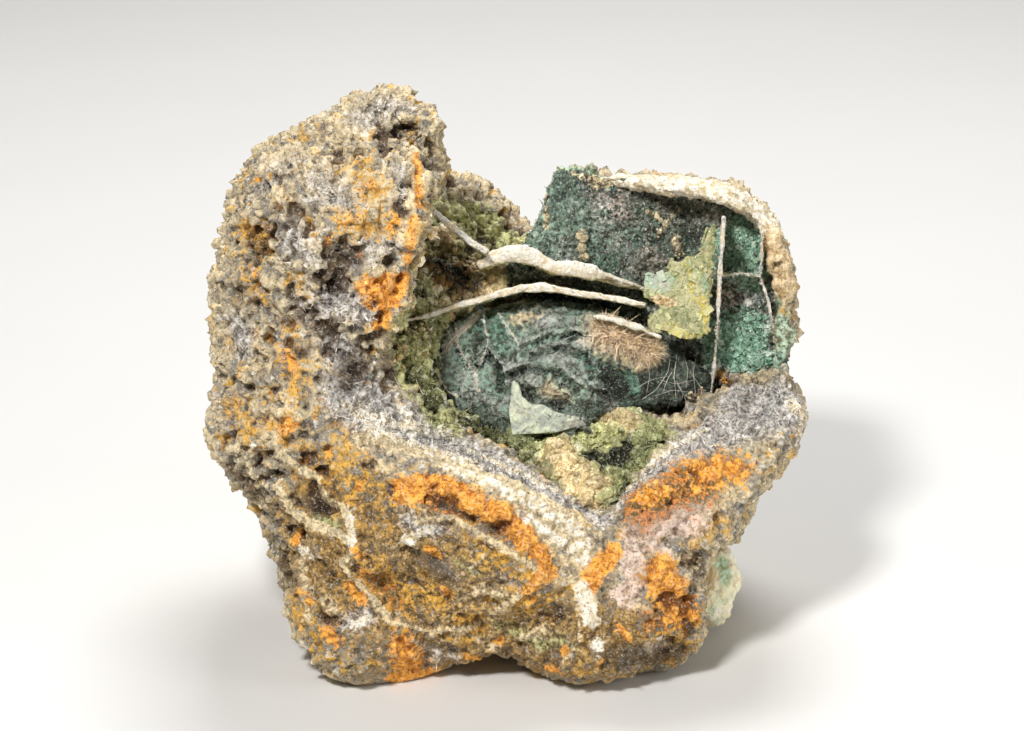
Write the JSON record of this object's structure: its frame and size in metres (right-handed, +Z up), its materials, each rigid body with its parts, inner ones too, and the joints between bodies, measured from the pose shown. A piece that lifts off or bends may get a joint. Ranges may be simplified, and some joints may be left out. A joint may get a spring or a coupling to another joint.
{
  "type": "chlorargyrite specimen",
  "caption": "Rough gossan nodule with an open vug that holds green malachite masses, thin pale septa and a yellow-green chlorargyrite blade; a display or study mineral specimen.",
  "frame": {"origin": "middle of the specimen's box, on the plane its broken feet stand on", "axes": "+Z up, -Y towards the open front of the vug, +X to the right as seen from the front"},
  "size_m": [0.0456, 0.039, 0.042],
  "materials": {
    "gossan": "rough, pitted, ochre and grey",
    "malachite_stain": "matte, finely crystalline",
    "dark_malachite": "matte, finely scratched",
    "chlorargyrite": "waxy",
    "cream_septum": "dull, chalky",
    "grey_septum": "dull",
    "pale_flake": "dull, layered",
    "olive_crystals": "finely crystalline, glinting",
    "pale_malachite": "botryoidal, dull"
  },
  "bodies": {
    "root": {"matrix": "gossan", "malachite_slab": "malachite_stain", "malachite_dome": "dark_malachite", "chlorargyrite_blade": "chlorargyrite", "upper_septum": "cream_septum", "lower_septum": "cream_septum", "short_septum": "cream_septum", "hollow_septum": "grey_septum", "cell_septa": "grey_septum", "pale_flake": "pale_flake", "vug_crust": "olive_crystals", "malachite_knob": "pale_malachite"}
  },
  "joints": []
}
